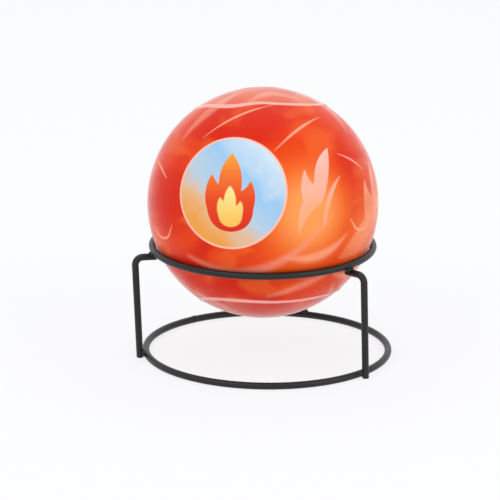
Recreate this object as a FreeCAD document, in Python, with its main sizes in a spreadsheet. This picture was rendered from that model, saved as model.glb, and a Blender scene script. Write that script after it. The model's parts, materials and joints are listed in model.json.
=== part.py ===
import FreeCAD, Part
import Sketcher
import math
import os
import re

# Fire extinguisher ball resting in a welded wire stand, in millimetres.
# +Z is up and the front, which the round emblem faces, is towards -Y.
# The origin is the centre of the base ring, on the table.

Vector = FreeCAD.Vector
Rotation = FreeCAD.Rotation
Placement = FreeCAD.Placement

doc = FreeCAD.newDocument("ExtinguisherBall")

# Driving dimensions

SIZES = [
    ("WireDiameter", 4.5, "steel rod of the rings and legs"),
    ("BaseStep", 7.5, "how much larger the base ring's radius is than the cradle ring's"),
    ("CradleRingHeight", 72.6, "centreline of the ring that holds the ball, above the table"),
    ("CradleOffset", 3.2, "how far the stand's top sits left of its base"),
    ("KneeRadius", 5.0, "centreline radius of the bend in a leg"),
    ("LeftLegAngle", 190.0, "place of the left leg round the base ring"),
    ("RightLegAngle", 319.0, "place of the right leg round the base ring"),
    ("RearLegAngle", 72.7, "place of the rear leg round the base ring"),
    ("WeldGap", 0.15, "fit-up gap between two rods, filled by the weld"),
    ("BaseWeldRadius", 3.3, "weld bead between a leg and the base ring"),
    ("BaseWeldRise", 0.3, "lowest point of that bead above the table"),
    ("CradleWeldRadius", 3.0, "weld bead between an arm and the cradle ring"),
    ("CradleWeldShift", 0.5, "that bead's centre outside the ring's centreline"),
    ("BallDiameter", 150.0, "over the shrink sleeve"),
    ("SeatAngle", 21.84, "how far below its widest line the ball meets the cradle ring"),
    ("SeatGap", 0.1, "between the sleeve and the cradle ring"),
    ("TiltAngle", 13.5, "lean of the ball's poles, top to the rear"),
    ("RollAngle", 3.0, "turn of the ball, right side up"),
    ("SleeveThickness", 0.4, "shrink sleeve"),
    ("CapFilmThickness", 0.2, "film on the poles"),
    ("UpperEdgeRadius", 39.8, "opening of the sleeve round the top pole"),
    ("LowerEdgeRadius", 42.6, "opening of the sleeve round the bottom pole"),
    ("FilmEdgeGap", 0.3, "between the sleeve's edges and the cap films"),
    ("ShellWall", 8.0, "foam half shells"),
    ("LapHeight", 6.0, "tongue of the upper shell inside the lower one"),
    ("LapGap", 0.2, "clearance round that tongue"),
    ("TapeWidth", 20.0, "tape over the shells' joint"),
    ("TapeThickness", 0.25, "depth of the recess that holds the tape"),
    ("FuseDiameter", 2.0, "fuse strip and its leads"),
    ("FuseGap", 0.1, "clearance round a fuse lead"),
    ("SlotGap", 0.2, "clearance round the fuse strip in its slot"),
    ("TubeDiameter", 24.0, "outside of the capsule's card tube"),
    ("TubeWall", 1.4, "card tube"),
    ("TubeLength", 60.0, "card tube"),
    ("PlugFlange", 1.5, "rim of a plug on the tube's end"),
    ("PlugDepth", 6.0, "plug inside the tube"),
    ("PlugGap", 0.05, "clearance between a plug and the tube"),
    ("EmblemDiameter", 71.0, "round printed field"),
    ("EmblemRimWidth", 1.2, "pale rim round that field"),
    ("EmblemTurnAngle", -104.1, "place of the emblem round the ball"),
    ("EmblemRiseAngle", 6.2, "place of the emblem above the ball's equator"),
    ("EmblemFlameHeight", 50.0, "flame in the emblem"),
    ("CoreShare", 0.52, "bright core as a share of the emblem's flame"),
    ("CoreRise", 3.0, "foot of the bright core above the flame's foot"),
    ("FlameHeight", 60.0, "printed flame tongues"),
    ("FlameRiseAngle", 6.0, "flame clusters above and below the ball's equator in turn"),
    ("FlameCount", 7.0, "flame clusters round the ball"),
    ("FlameStepAngle", 38.0, "between two clusters"),
    ("FirstFlameAngle", -60.0, "first cluster, right of the emblem"),
    ("PrintDepth", 20.0, "how deep below the film the print's cutters start"),
]

sheet = doc.addObject("Spreadsheet::Sheet", "Sizes")
for row, (alias, value, note) in enumerate(SIZES, start=1):
    sheet.set("A%d" % row, alias)
    sheet.set("B%d" % row, str(value))
    sheet.set("C%d" % row, note)
    sheet.setAlias("B%d" % row, alias)
doc.recompute()

SUBPARTS = []


def size(expression):
    """The value of an expression of the sheet's names."""
    result = sheet.evalExpression(expression)
    return float(getattr(result, "Value", result))


def subpart(item, name):
    """Names a finished object as one physical piece."""
    item.Label = name
    SUBPARTS.append(item)
    return item


# Sketch helpers

def named(expression):
    """Writes the sheet's name before each of its words."""
    words = "|".join(alias for alias, value, note in SIZES)
    return re.sub(r"\b(" + words + r")\b", r"Sizes.\1", expression)


def new_sketch(body, name, role):
    sketch = body.newObject("Sketcher::SketchObject", name)
    support = [plane for plane in body.Origin.OriginFeatures if plane.Role == role][0]
    sketch.AttachmentSupport = [(support, "")]
    sketch.MapMode = "FlatFace"
    return sketch


def dimension(sketch, kind, places, expression):
    """One sketch dimension that follows the sheet."""
    constraint = Sketcher.Constraint(kind, *places, size(expression))
    index = sketch.addConstraint(constraint)
    sketch.setExpression("Constraints[%d]" % index, named(expression))


def place_point(sketch, geometry, end, x, y):
    """Holds a point at x and y, each an expression, or None where an arc already sets it."""
    for kind, expression, axis in (("DistanceX", x, -2), ("DistanceY", y, -1)):
        if expression is None:
            continue
        if abs(size(expression)) < 1e-9:
            sketch.addConstraint(Sketcher.Constraint("PointOnObject", geometry, end, axis))
        elif size(expression) > 0:
            dimension(sketch, kind, (-1, 1, geometry, end), expression)
        else:
            dimension(sketch, kind, (geometry, end, -1, 1), "-(" + expression + ")")


def draw_circle(sketch, x, y, radius):
    centre = Vector(size(x), size(y), 0)
    circle = sketch.addGeometry(Part.Circle(centre, Vector(0, 0, 1), size(radius)))
    dimension(sketch, "Radius", (circle,), radius)
    if x == "0" and y == "0":
        sketch.addConstraint(Sketcher.Constraint("Coincident", circle, 3, -1, 1))
    else:
        place_point(sketch, circle, 3, x, y)


def draw_profile(sketch, corners, spans):
    """A closed outline. Each corner is x and y with the sheet's names, and each span is
    None for a straight edge or the radius of an arc about the origin. A corner on an arc
    gives one of its two places as a sign, because the arc sets it."""
    points = []
    for index, (x, y) in enumerate(corners):
        radius = spans[index] or spans[index - 1]
        if x in ("+", "-"):
            reach = math.sqrt(size(radius) ** 2 - size(y) ** 2)
            points.append(Vector(math.copysign(reach, float(x + "1")), size(y), 0))
        elif y in ("+", "-"):
            reach = math.sqrt(size(radius) ** 2 - size(x) ** 2)
            points.append(Vector(size(x), math.copysign(reach, float(y + "1")), 0))
        else:
            points.append(Vector(size(x), size(y), 0))
    ends = []
    for index, radius in enumerate(spans):
        start = points[index]
        stop = points[(index + 1) % len(points)]
        if radius is None:
            edge = sketch.addGeometry(Part.LineSegment(start, stop))
            ends.append((edge, 1, 2))
            continue
        circle = Part.Circle(Vector(0, 0, 0), Vector(0, 0, 1), size(radius))
        first = math.atan2(start.y, start.x)
        last = math.atan2(stop.y, stop.x)
        edge = sketch.addGeometry(Part.ArcOfCircle(circle, min(first, last), max(first, last)))
        sketch.addConstraint(Sketcher.Constraint("Coincident", edge, 3, -1, 1))
        dimension(sketch, "Radius", (edge,), radius)
        ends.append((edge, 1, 2) if first < last else (edge, 2, 1))
    for index, (x, y) in enumerate(corners):
        before, unused, before_end = ends[index - 1]
        after, after_end, unused = ends[index]
        sketch.addConstraint(Sketcher.Constraint("Coincident", before, before_end, after, after_end))
        given_x = None if x in ("+", "-") else x
        given_y = None if y in ("+", "-") else y
        place_point(sketch, after, after_end, given_x, given_y)


def turned_body(name, corners, spans):
    """A body turned about Z from a profile in its XZ plane."""
    body = doc.addObject("PartDesign::Body", name)
    sketch = new_sketch(body, name + "_profile", "XZ_Plane")
    draw_profile(sketch, corners, spans)
    turn = body.newObject("PartDesign::Revolution", name + "_turn")
    turn.Profile = sketch
    turn.ReferenceAxis = (sketch, ["V_Axis"])
    turn.Angle = 360
    return body


def check_cut(feature):
    """Recomputes and makes sure that the newest feature took material away."""
    before = feature.BaseFeature.Shape.Volume
    doc.recompute()
    if feature.Shape.Volume > before - 1e-6:
        raise RuntimeError(feature.Name + " cuts nothing")


# Wire stand: two rings

def ring(name, radius, height):
    body = doc.addObject("PartDesign::Body", name)
    sketch = new_sketch(body, name + "_section", "XZ_Plane")
    draw_circle(sketch, radius, height, "WireDiameter / 2")
    turn = body.newObject("PartDesign::Revolution", name + "_turn")
    turn.Profile = sketch
    turn.ReferenceAxis = (sketch, ["V_Axis"])
    turn.Angle = 360
    return subpart(body, name)


# The rings' sizes come from the ball: its widest line lies above the cradle ring, whose rod
# touches the ball at the seat angle, and the base ring is a step larger, so that it stands firm.

SEAT_REACH = "(BallDiameter / 2 + WireDiameter / 2 + SeatGap)"
CRADLE_RADIUS = "(" + SEAT_REACH + " * cos(SeatAngle * 1deg))"
SEAT_RISE = "(" + SEAT_REACH + " * sin(SeatAngle * 1deg))"
BASE_RADIUS = "(" + CRADLE_RADIUS + " + BaseStep)"

base_ring = ring("base_ring", BASE_RADIUS, "WireDiameter / 2")
cradle_ring = ring("cradle_ring", CRADLE_RADIUS, "CradleRingHeight")
cradle_ring.setExpression("Placement.Base.x", named("-CradleOffset"))

# Wire stand: three legs
# A leg stands outside the base ring and bends in under the cradle ring. It lies in the upright
# plane through its foot and the cradle ring's axis. All knees are as far from that axis as the
# feet are from the base ring's, so the legs lean only as the top is off centre.

FOOT_RADIUS = "(" + BASE_RADIUS + " + WireDiameter + WeldGap)"
ARM_HEIGHT = "(CradleRingHeight - WireDiameter - WeldGap)"
ARM_END_RADIUS = "(" + CRADLE_RADIUS + " - WireDiameter / 2)"


def leg(name, angle):
    foot_x = FOOT_RADIUS + " * cos(" + angle + " * 1deg)"
    foot_y = FOOT_RADIUS + " * sin(" + angle + " * 1deg)"
    to_axis = "sqrt((" + foot_x + " + CradleOffset) ^ 2 + (" + foot_y + ") ^ 2)"
    arm_end = "(" + to_axis + " - " + ARM_END_RADIUS + ")"
    arm_length = "(" + FOOT_RADIUS + " - " + ARM_END_RADIUS + ")"

    body = doc.addObject("PartDesign::Body", name)
    path = new_sketch(body, name + "_path", "XZ_Plane")
    knee = Vector(size(arm_end) - size(arm_length), size(ARM_HEIGHT), 0)
    bend = size("KneeRadius")
    bend_start = Vector(knee.x, knee.y - bend, 0)
    bend_end = Vector(knee.x + bend, knee.y, 0)
    upright = path.addGeometry(Part.LineSegment(Vector(0, 0, 0), bend_start))
    circle = Part.Circle(Vector(knee.x + bend, knee.y - bend, 0), Vector(0, 0, 1), bend)
    corner = path.addGeometry(Part.ArcOfCircle(circle, math.pi / 2, math.pi))
    arm = path.addGeometry(Part.LineSegment(bend_end, Vector(size(arm_end), knee.y, 0)))
    mark = path.addGeometry(Part.Point(knee), True)
    path.addConstraint(Sketcher.Constraint("Coincident", upright, 1, -1, 1))
    path.addConstraint(Sketcher.Constraint("Tangent", upright, 2, corner, 2))
    path.addConstraint(Sketcher.Constraint("Tangent", corner, 1, arm, 1))
    path.addConstraint(Sketcher.Constraint("Horizontal", arm))
    path.addConstraint(Sketcher.Constraint("PointOnObject", mark, 1, upright))
    path.addConstraint(Sketcher.Constraint("PointOnObject", mark, 1, arm))
    dimension(path, "Radius", (corner,), "KneeRadius")
    dimension(path, "DistanceY", (-1, 1, arm, 2), ARM_HEIGHT)
    dimension(path, "DistanceX", (-1, 1, arm, 2), arm_end)
    dimension(path, "DistanceX", (mark, 1, arm, 2), arm_length)

    section = new_sketch(body, name + "_section", "XY_Plane")
    draw_circle(section, "0", "0", "WireDiameter / 2")
    doc.recompute()
    rod = body.newObject("PartDesign::AdditivePipe", name + "_rod")
    rod.Profile = section
    rod.Spine = (path, ["Edge1", "Edge2", "Edge3"])

    foot = Vector(size(foot_x), size(foot_y), 0)
    inwards = math.degrees(math.atan2(-foot.y, -size("CradleOffset") - foot.x))
    body.Placement = Placement(foot, Rotation(Vector(0, 0, 1), inwards))
    return subpart(body, name)


legs = [
    leg("leg_left", "LeftLegAngle"),
    leg("leg_right", "RightLegAngle"),
    leg("leg_rear", "RearLegAngle"),
]
doc.recompute()

# Weld beads
# Each bead starts as a round blob on the spot where two rods meet, and the rods are taken out
# of it, so that it fills the notches beside them.


def blob(name, radius, axis, leg_body, reach, height):
    """A blob at a reach and height from an upright axis, on the side of a leg's foot."""
    outwards = leg_body.Placement.Base - axis
    turn = Rotation(Vector(0, 0, 1), math.degrees(math.atan2(outwards.y, outwards.x)))
    item = doc.addObject("Part::Sphere", name)
    item.setExpression("Radius", named(radius))
    item.Placement = Placement(axis + turn.multVec(Vector(size(reach), 0, size(height))), turn)
    return item


def beads(name, blobs, rods):
    result = doc.addObject("Part::Compound", name + "_blobs")
    result.Links = blobs
    for rod in rods:
        cut = doc.addObject("Part::Cut", name + "_less_" + rod.Label)
        cut.Base = result
        cut.Tool = rod
        result = cut
    return subpart(result, name)


BASE_WELD_REACH = "(" + BASE_RADIUS + " + (WireDiameter + WeldGap) / 2)"
BASE_WELD_HEIGHT = "(BaseWeldRadius + BaseWeldRise)"
CRADLE_WELD_REACH = "(" + CRADLE_RADIUS + " + CradleWeldShift)"
CRADLE_WELD_HEIGHT = "(CradleRingHeight - (WireDiameter + WeldGap) / 2)"

base_axis = Vector(0, 0, 0)
cradle_axis = Vector(-size("CradleOffset"), 0, 0)
base_blobs = []
cradle_blobs = []
for item in legs:
    base_blobs.append(
        blob("base_blob_" + item.Label, "BaseWeldRadius", base_axis, item,
             BASE_WELD_REACH, BASE_WELD_HEIGHT))
    cradle_blobs.append(
        blob("cradle_blob_" + item.Label, "CradleWeldRadius", cradle_axis, item,
             CRADLE_WELD_REACH, CRADLE_WELD_HEIGHT))

beads("base_welds", base_blobs, [base_ring] + legs)
beads("cradle_welds", cradle_blobs, [cradle_ring] + legs)

# Place of the ball
# It sinks into the cradle ring until its sleeve rests on the rod, and it lies with its poles
# leaning back and a little to one side. Every piece of the ball is made about its own centre.

ball_centre = cradle_axis + Vector(0, 0, size("CradleRingHeight + " + SEAT_RISE))
roll = Rotation(Vector(0, 1, 0), -size("RollAngle"))
tilt = Rotation(Vector(1, 0, 0), -size("TiltAngle"))
ball_place = Placement(ball_centre, roll.multiply(tilt))


def ball_piece(item, name):
    item.Placement = ball_place
    return subpart(item, name)


# Film

SLEEVE_OUTSIDE = "BallDiameter / 2"
SHELL_OUTSIDE = "(BallDiameter / 2 - SleeveThickness)"
CAP_FILM_OUTSIDE = "(BallDiameter / 2 - SleeveThickness + CapFilmThickness)"

sleeve_blank = turned_body(
    "sleeve_blank",
    [("UpperEdgeRadius", "+"), ("UpperEdgeRadius", "+"),
     ("LowerEdgeRadius", "-"), ("LowerEdgeRadius", "-")],
    [None, SLEEVE_OUTSIDE, None, SHELL_OUTSIDE],
)


def cap_film(name, edge, side):
    radius = "(" + edge + " - FilmEdgeGap)"
    body = turned_body(
        name,
        [("0", side), ("0", side), (radius, side), (radius, side)],
        [None, CAP_FILM_OUTSIDE, None, SHELL_OUTSIDE],
    )
    return ball_piece(body, name)


cap_film("crown_film", "UpperEdgeRadius", "+")
cap_film("bottom_film", "LowerEdgeRadius", "-")

# Foam half shells
# The upper one has a tongue that slides into a rebate of the lower one, and each has a hole in
# its pole for a fuse lead. A shallow recess takes the tape over the joint, and a slot the fuse.

SHELL_INSIDE = "(BallDiameter / 2 - SleeveThickness - ShellWall)"
TAPE_INSIDE = "(BallDiameter / 2 - SleeveThickness - TapeThickness)"
LAP_RADIUS = "(BallDiameter / 2 - SleeveThickness - ShellWall / 2)"
FUSE_RADIUS = "(FuseDiameter / 2)"
FUSE_HOLE = "(FuseDiameter / 2 + FuseGap)"
FUSE_CENTRE = "(BallDiameter / 2 - SleeveThickness - TapeThickness - SlotGap - FuseDiameter / 2)"
SLOT_HALF = "(FuseDiameter / 2 + SlotGap)"


def half_shell(name, corners, spans):
    body = turned_body(name, corners, spans)
    doc.recompute()
    slot = new_sketch(body, name + "_slot", "XY_Plane")
    floor = "(" + FUSE_CENTRE + " - " + SLOT_HALF + ")"
    below = "-" + SLOT_HALF
    draw_profile(
        slot,
        [(floor, below), (SLEEVE_OUTSIDE, below), (SLEEVE_OUTSIDE, SLOT_HALF), (floor, SLOT_HALF)],
        [None, None, None, None],
    )
    groove = body.newObject("PartDesign::Groove", name + "_fuse_slot")
    groove.Profile = slot
    groove.ReferenceAxis = (slot, ["V_Axis"])
    groove.Angle = 360
    check_cut(groove)
    return ball_piece(body, name)


half_shell(
    "shell_upper",
    [(FUSE_HOLE, "+"), (FUSE_HOLE, "+"), ("+", "TapeWidth / 2"), ("+", "TapeWidth / 2"),
     ("+", "0"), (LAP_RADIUS, "0"), (LAP_RADIUS, "-LapHeight"), ("+", "-LapHeight")],
    [None, SHELL_OUTSIDE, None, TAPE_INSIDE, None, None, None, SHELL_INSIDE],
)
REBATE_RADIUS = "(" + LAP_RADIUS + " + LapGap)"
REBATE_FLOOR = "-(LapHeight + LapGap)"
half_shell(
    "shell_lower",
    [(FUSE_HOLE, "-"), (FUSE_HOLE, "-"), ("+", "-TapeWidth / 2"), ("+", "-TapeWidth / 2"),
     ("+", "0"), (REBATE_RADIUS, "0"), (REBATE_RADIUS, REBATE_FLOOR), ("+", REBATE_FLOOR)],
    [None, SHELL_OUTSIDE, None, TAPE_INSIDE, None, None, None, SHELL_INSIDE],
)

seam_tape = turned_body(
    "seam_tape",
    [("+", "TapeWidth / 2"), ("+", "TapeWidth / 2"),
     ("+", "-TapeWidth / 2"), ("+", "-TapeWidth / 2")],
    [None, SHELL_OUTSIDE, None, TAPE_INSIDE],
)
ball_piece(seam_tape, "seam_tape")

# Powder and the capsule at its centre

TUBE_OUTSIDE = "(TubeDiameter / 2)"
TUBE_INSIDE = "(TubeDiameter / 2 - TubeWall)"
TUBE_END = "(TubeLength / 2)"
CAPSULE_END = "(TubeLength / 2 + PlugFlange)"
CHARGE_END = "(TubeLength / 2 - PlugDepth)"
PLUG_RADIUS = "(TubeDiameter / 2 - TubeWall - PlugGap)"
LEAD_END = "(" + FUSE_CENTRE + " - FuseDiameter / 2 - FuseGap)"


def straight_sided(name, corners):
    body = turned_body(name, corners, [None] * len(corners))
    return ball_piece(body, name)


powder = turned_body(
    "powder_fill",
    [(FUSE_RADIUS, "+"), (FUSE_RADIUS, "-"), (FUSE_RADIUS, "-" + CAPSULE_END),
     (TUBE_OUTSIDE, "-" + CAPSULE_END), (TUBE_OUTSIDE, CAPSULE_END), (FUSE_RADIUS, CAPSULE_END)],
    [SHELL_INSIDE, None, None, None, None, None],
)
ball_piece(powder, "powder_fill")

tube = doc.addObject("PartDesign::Body", "burst_tube")
section = new_sketch(tube, "burst_tube_section", "XY_Plane")
draw_circle(section, "0", "0", TUBE_OUTSIDE)
draw_circle(section, "0", "0", TUBE_INSIDE)
wall = tube.newObject("PartDesign::Pad", "burst_tube_wall")
wall.Profile = section
wall.Midplane = True
wall.setExpression("Length", named("TubeLength"))
ball_piece(tube, "burst_tube")

straight_sided(
    "burst_charge",
    [("0", "-" + CHARGE_END), (TUBE_INSIDE, "-" + CHARGE_END),
     (TUBE_INSIDE, CHARGE_END), ("0", CHARGE_END)],
)

for side, sign in (("top", ""), ("bottom", "-")):
    straight_sided(
        "tube_plug_" + side,
        [(FUSE_HOLE, sign + CHARGE_END), (PLUG_RADIUS, sign + CHARGE_END),
         (PLUG_RADIUS, sign + TUBE_END), (TUBE_OUTSIDE, sign + TUBE_END),
         (TUBE_OUTSIDE, sign + CAPSULE_END), (FUSE_HOLE, sign + CAPSULE_END)],
    )
    straight_sided(
        "fuse_lead_" + side,
        [("0", sign + CHARGE_END), (FUSE_RADIUS, sign + CHARGE_END),
         (FUSE_RADIUS, sign + LEAD_END), ("0", sign + LEAD_END)],
    )

fuse_ring = doc.addObject("PartDesign::Body", "fuse_ring")
section = new_sketch(fuse_ring, "fuse_ring_section", "XY_Plane")
draw_circle(section, FUSE_CENTRE, "0", FUSE_RADIUS)
turn = fuse_ring.newObject("PartDesign::Revolution", "fuse_ring_turn")
turn.Profile = section
turn.ReferenceAxis = (section, ["V_Axis"])
turn.Angle = 360
ball_piece(fuse_ring, "fuse_ring")

# Print on the sleeve
# Each field of colour is the sleeve's own film inside an outline. The outlines are drawn flat,
# as shares of a height, and pushed out through the film along the ball's radius.


def print_place(longitude, latitude):
    """Where an outline is drawn: X is eastwards, Y northwards and Z out of the ball."""
    east_turn = math.radians(longitude)
    north_turn = math.radians(latitude)
    out = Vector(
        math.cos(north_turn) * math.cos(east_turn),
        math.cos(north_turn) * math.sin(east_turn),
        math.sin(north_turn),
    )
    east = Vector(-math.sin(east_turn), math.cos(east_turn), 0)
    north = out.cross(east)
    start = out * size("BallDiameter / 2 - PrintDepth")
    return Placement(start, Rotation(east, north, out, "ZXY"))


def outline_prism(corners, height, place):
    """A prism on an outline. A corner is x, y and the swell of the edge that leaves it, as
    shares of the height; a negative swell bows to the right of the way along the edge."""
    edges = []
    for index, (x, y, swell) in enumerate(corners):
        next_x, next_y, unused = corners[(index + 1) % len(corners)]
        start = Vector(x, y, 0) * height
        stop = Vector(next_x, next_y, 0) * height
        if swell == 0:
            edges.append(Part.LineSegment(start, stop).toShape())
            continue
        along = (stop - start).normalize()
        side = Vector(-along.y, along.x, 0)
        middle = (start + stop) * 0.5 + side * swell * height
        edges.append(Part.Arc(start, middle, stop).toShape())
    face = Part.Face(Part.Wire(edges))
    prism = face.extrude(Vector(0, 0, 2 * size("PrintDepth")))
    prism.Placement = place
    return prism


def cutter(name, shape):
    item = doc.addObject("Part::Feature", name)
    item.Shape = shape
    return item


def printed(name, shape):
    """The sleeve's film inside a cutter."""
    common = doc.addObject("Part::Common", name)
    common.Base = sleeve_blank
    common.Tool = cutter(name + "_cutter", shape)
    return ball_piece(common, name)


FLAME_IN_EMBLEM = [
    (0.00, -0.50, -0.09), (0.30, -0.22, -0.04), (0.27, 0.14, 0.02), (0.15, 0.00, -0.06),
    (0.02, 0.50, -0.05), (-0.14, 0.08, 0.00), (-0.24, 0.24, -0.05), (-0.31, -0.20, -0.09),
]
SLIM_TONGUES = [
    [(-0.24, -0.46, 0.05), (0.02, -0.12, -0.02), (0.20, 0.46, -0.07), (-0.06, 0.06, 0.02),
     (-0.14, 0.24, -0.04), (-0.20, -0.10, -0.04)],
    [(0.06, -0.40, 0.05), (0.30, 0.16, -0.06), (0.04, -0.24, -0.02)],
]
BROAD_TONGUE = [
    [(-0.42, -0.50, -0.07), (0.06, -0.26, -0.03), (0.22, 0.02, -0.03), (0.36, 0.22, 0.03),
     (0.21, 0.13, 0.02), (0.17, 0.52, -0.05), (0.04, 0.15, 0.03), (-0.11, 0.35, -0.05),
     (-0.13, -0.06, -0.04)],
]
ORANGE_SWEEP = [(-0.36, -0.66, -0.16), (0.36, -0.46, 0.07)]

emblem_place = print_place(size("EmblemTurnAngle"), size("EmblemRiseAngle"))
reach_out = 2 * size("PrintDepth")
disc = Part.makeCylinder(size("EmblemDiameter / 2"), reach_out)
inner_disc = Part.makeCylinder(size("EmblemDiameter / 2 - EmblemRimWidth"), reach_out)
disc.Placement = emblem_place
inner_disc.Placement = emblem_place
flame = outline_prism(FLAME_IN_EMBLEM, size("EmblemFlameHeight"), emblem_place)
core_height = size("EmblemFlameHeight * CoreShare")
core_shift = size("CoreRise") - (size("EmblemFlameHeight") - core_height) / 2
core_place = emblem_place.multiply(Placement(Vector(0, core_shift, 0), Rotation()))
core = outline_prism(FLAME_IN_EMBLEM, core_height, core_place)

printed("emblem_rim", disc.cut(inner_disc))
printed("emblem_field", inner_disc.cut(flame))
printed("emblem_flame", flame.cut(core))
printed("emblem_core", core)

# Slim and broad clusters take turns round the ball, the slim ones a little higher.
pale = []
orange = []
flame_height = size("FlameHeight")
for number in range(int(size("FlameCount"))):
    longitude = size("FirstFlameAngle") + number * size("FlameStepAngle")
    slim = number % 2 == 0
    place = print_place(longitude, size("FlameRiseAngle") * (1 if slim else -1))
    for tongue in SLIM_TONGUES if slim else BROAD_TONGUE:
        pale.append(outline_prism(tongue, flame_height, place))
    orange.append(outline_prism(ORANGE_SWEEP, flame_height, place))
printed("pale_flames", Part.makeCompound(pale))
printed("orange_flames", Part.makeCompound(orange))

wrap_sleeve = doc.addObject("Part::Cut", "wrap_sleeve")
wrap_sleeve.Base = sleeve_blank
wrap_sleeve.Tool = cutter("print_cutter", Part.makeCompound([disc] + pale + orange))
ball_piece(wrap_sleeve, "wrap_sleeve")

# Check and write

doc.recompute()
for item in doc.Objects:
    if "Invalid" in item.State or "Error" in item.State:
        raise RuntimeError(item.Name + " did not build: " + str(item.State))
for item in SUBPARTS:
    shape = item.Shape
    if shape.isNull() or not shape.isValid() or not shape.Solids:
        raise RuntimeError(item.Label + " has no valid shape")

os.makedirs("parts", exist_ok=True)
for item in SUBPARTS:
    item.Shape.exportStep(os.path.join("parts", item.Label + ".step"))
    print("%-16s %d solid(s) %10.1f cubic mm" % (item.Label, len(item.Shape.Solids), item.Shape.Volume))
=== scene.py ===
# %% [markdown]
# # A fire extinguisher ball in its wire stand
# The real object is two things. The stand is steel rod, bent, welded and powder coated. The ball
# is a foam shell full of dry powder, shrink-wrapped in printed film. The CAD model has the right
# sizes and all the hidden pieces. This lesson models again what the eye meets: the coated rods
# and their welds, and the film with its raised edges and its print of flames.

# %% Load the frame
import json
import math

import bmesh
import bpy
import numpy as np
from mathutils import Matrix, Vector

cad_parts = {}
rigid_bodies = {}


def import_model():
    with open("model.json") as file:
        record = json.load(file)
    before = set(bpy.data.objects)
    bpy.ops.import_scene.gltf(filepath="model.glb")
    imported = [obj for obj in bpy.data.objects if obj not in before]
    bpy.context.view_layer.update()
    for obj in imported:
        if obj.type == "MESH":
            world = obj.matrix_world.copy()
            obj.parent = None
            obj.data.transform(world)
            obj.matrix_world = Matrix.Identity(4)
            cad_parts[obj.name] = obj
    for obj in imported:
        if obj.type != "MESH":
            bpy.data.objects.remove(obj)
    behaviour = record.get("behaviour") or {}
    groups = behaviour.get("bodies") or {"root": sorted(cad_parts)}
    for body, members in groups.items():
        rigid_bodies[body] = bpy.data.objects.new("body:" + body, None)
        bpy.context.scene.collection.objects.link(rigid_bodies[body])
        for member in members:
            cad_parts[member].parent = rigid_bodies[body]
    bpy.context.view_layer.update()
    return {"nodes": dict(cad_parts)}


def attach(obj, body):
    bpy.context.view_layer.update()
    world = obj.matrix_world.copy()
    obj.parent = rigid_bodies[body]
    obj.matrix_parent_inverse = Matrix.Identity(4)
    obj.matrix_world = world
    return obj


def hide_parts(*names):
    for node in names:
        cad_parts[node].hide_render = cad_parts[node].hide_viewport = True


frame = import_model()

# %% [markdown]
# ## Sizes
# Drawings of small objects are in millimetres and Blender works in metres, so every size below
# is a number of millimetres times MM. They are the sizes of the CAD model, because a new piece
# has to stay where the piece is that it stands for.

# %% Sizes of the stand and the ball
MM = 0.001
ROD_RADIUS = 2.25 * MM
BALL_RADIUS = 75.0 * MM
FILM = 0.4 * MM
CAP_FILM = 0.2 * MM
SEAT_ANGLE = math.radians(21.84)
SEAT_REACH = BALL_RADIUS + ROD_RADIUS + 0.1 * MM
CRADLE_RADIUS = SEAT_REACH * math.cos(SEAT_ANGLE)
CRADLE_HEIGHT = 72.6 * MM
CRADLE_AXIS = Vector((-3.2 * MM, 0, 0))
BASE_RADIUS = CRADLE_RADIUS + 7.5 * MM
WELD_GAP = 0.15 * MM
FOOT_RADIUS = BASE_RADIUS + 2 * ROD_RADIUS + WELD_GAP
ARM_HEIGHT = CRADLE_HEIGHT - 2 * ROD_RADIUS - WELD_GAP
ARM_END = CRADLE_RADIUS - ROD_RADIUS
KNEE_RADIUS = 5.0 * MM
LEG_ANGLES = {"left": 190.0, "right": 319.0, "rear": 72.7}
BALL_CENTRE = CRADLE_AXIS + Vector((0, 0, CRADLE_HEIGHT + SEAT_REACH * math.sin(SEAT_ANGLE)))
print("cradle ring radius %.2f mm, ball centre %.2f mm up" % (CRADLE_RADIUS / MM, BALL_CENTRE.z / MM))

# %% [markdown]
# ## Working by hand in code
# An operator acts on what is selected, so a new piece starts with nothing selected. In edit mode
# the parts of a mesh are picked by their place, as a person would pick them by eye.

# %% Selecting
def deselect():
    if bpy.context.object and bpy.context.object.mode == "EDIT":
        bpy.ops.object.mode_set(mode="OBJECT")
    bpy.ops.object.select_all(action="DESELECT")


def pick(kind, test):
    """Selects the vertices, edges or faces in edit mode whose middle passes a test."""
    bpy.ops.mesh.select_mode(type=kind)
    bpy.ops.mesh.select_all(action="DESELECT")
    work = bmesh.from_edit_mesh(bpy.context.object.data)
    for item in {"VERT": work.verts, "EDGE": work.edges, "FACE": work.faces}[kind]:
        if kind == "VERT":
            middle = item.co
        elif kind == "EDGE":
            middle = (item.verts[0].co + item.verts[1].co) / 2
        else:
            middle = item.calc_center_median()
        if test(middle):
            item.select_set(True)
    work.select_flush_mode()
    bmesh.update_edit_mesh(bpy.context.object.data)


def finish_piece(piece, name, *replaced, slot):
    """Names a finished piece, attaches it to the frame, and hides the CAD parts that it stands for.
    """
    piece.name = name
    piece.data.name = name
    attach(piece, "root")
    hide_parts(*replaced)
    check = bmesh.new()
    check.from_mesh(piece.data)
    gaps = sum(not edge.is_manifold for edge in check.edges)
    volume = check.calc_volume(signed=True) / MM ** 3
    check.free()
    print("%-18s %6d faces, %s mm, %.0f cubic mm, %d open edges" % (
        name, len(piece.data.polygons), [round(side / MM, 1) for side in piece.dimensions],
        volume, gaps))
    return piece


# %% [markdown]
# ## The two rings
# Each ring is one length of rod, rolled round and butt-welded, which leaves a low collar where
# its ends meet. A torus is the rolled rod. The collar could be a second object, but on the real
# ring it runs into the rod, so the rod itself is divided finely there and swollen a little. It
# is ground flush on the side that rests on the table or holds the ball.

# %% A rolled ring with its closing weld
# The collar rises in three steps, each with its half length and its rise in mm.
COLLAR = [(1.7, 0.10), (1.1, 0.14), (0.5, 0.08)]
COLLAR_DIVIDED = 2.5
COLLAR_REACH = 4.0


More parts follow.
